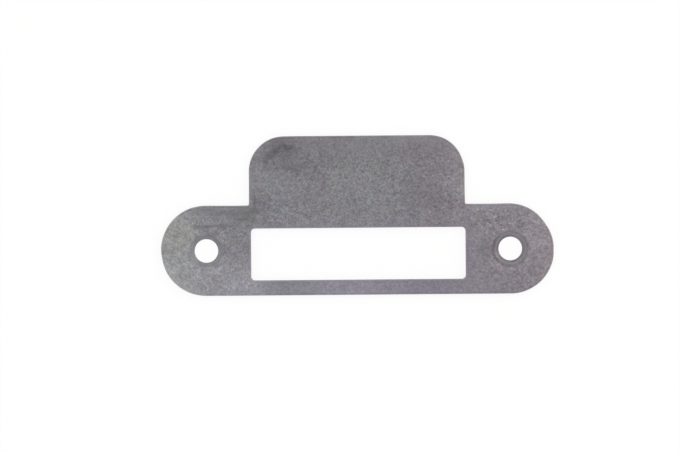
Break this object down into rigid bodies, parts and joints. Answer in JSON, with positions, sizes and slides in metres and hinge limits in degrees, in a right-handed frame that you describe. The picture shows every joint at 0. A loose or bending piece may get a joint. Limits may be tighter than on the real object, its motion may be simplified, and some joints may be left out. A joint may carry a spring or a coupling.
{
  "type": "door strike plate",
  "caption": "Flat sheet-steel door strike plate: a strap with full-round ends, a bolt slot and countersunk screw holes, and a wide flat lip with rounded corners for the latch to ride over.",
  "frame": {"origin": "midway between the axes of the two screw holes, on the back face that lies against the door frame", "axes": "+X along the strap from one screw hole to the other, +Y across it towards the lip, +Z out of the front face"},
  "size_m": [0.1096, 0.0444, 0.0015],
  "materials": {
    "zinc_plated_steel": "dull electroplated zinc on tumbled sheet steel, satin grey with a faint violet cast"
  },
  "bodies": {
    "root": {"strike_plate": "zinc_plated_steel"}
  },
  "joints": []
}
